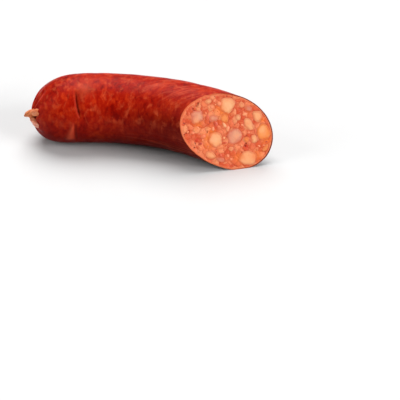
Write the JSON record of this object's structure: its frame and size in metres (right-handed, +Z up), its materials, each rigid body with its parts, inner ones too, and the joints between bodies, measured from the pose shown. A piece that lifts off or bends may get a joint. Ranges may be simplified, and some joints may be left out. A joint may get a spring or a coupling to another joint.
{
  "type": "cured sausage",
  "caption": "Bent length of coarse cured sausage in a glossy red casing, knotted at one end and cut on a slant that shows ground meat and pieces of fat.",
  "frame": {"origin": "on the table that the sausage lies on, under the middle of its bent centreline", "axes": "+Z up, +X along the chord of the bend from the knotted end to the cut end, and +Y out of the bend, so that the bend's centre lies toward -Y"},
  "size_m": [0.1464, 0.0481, 0.0415],
  "materials": {
    "casing": "gloss",
    "filling": "satin",
    "fat_pale": "satin",
    "fat_pink": "satin",
    "fat_orange": "satin"
  },
  "bodies": {
    "root": {"casing": "casing", "filling": "filling", "fat_piece_01": "fat_pale", "fat_piece_02": "fat_pink", "fat_piece_03": "fat_pink", "fat_piece_04": "fat_pale", "fat_piece_05": "fat_orange", "fat_piece_06": "fat_pale", "fat_piece_07": "fat_pale", "fat_piece_08": "fat_pale", "fat_piece_09": "fat_pale", "fat_piece_10": "fat_orange", "fat_piece_11": "fat_pale", "fat_piece_12": "fat_pale", "fat_piece_13": "fat_pink", "fat_piece_14": "fat_orange", "fat_piece_15": "fat_pale", "fat_piece_16": "fat_pink", "fat_piece_17": "fat_pale", "fat_piece_18": "fat_pale", "fat_piece_19": "fat_orange", "fat_piece_20": "fat_pink"}
  },
  "joints": []
}
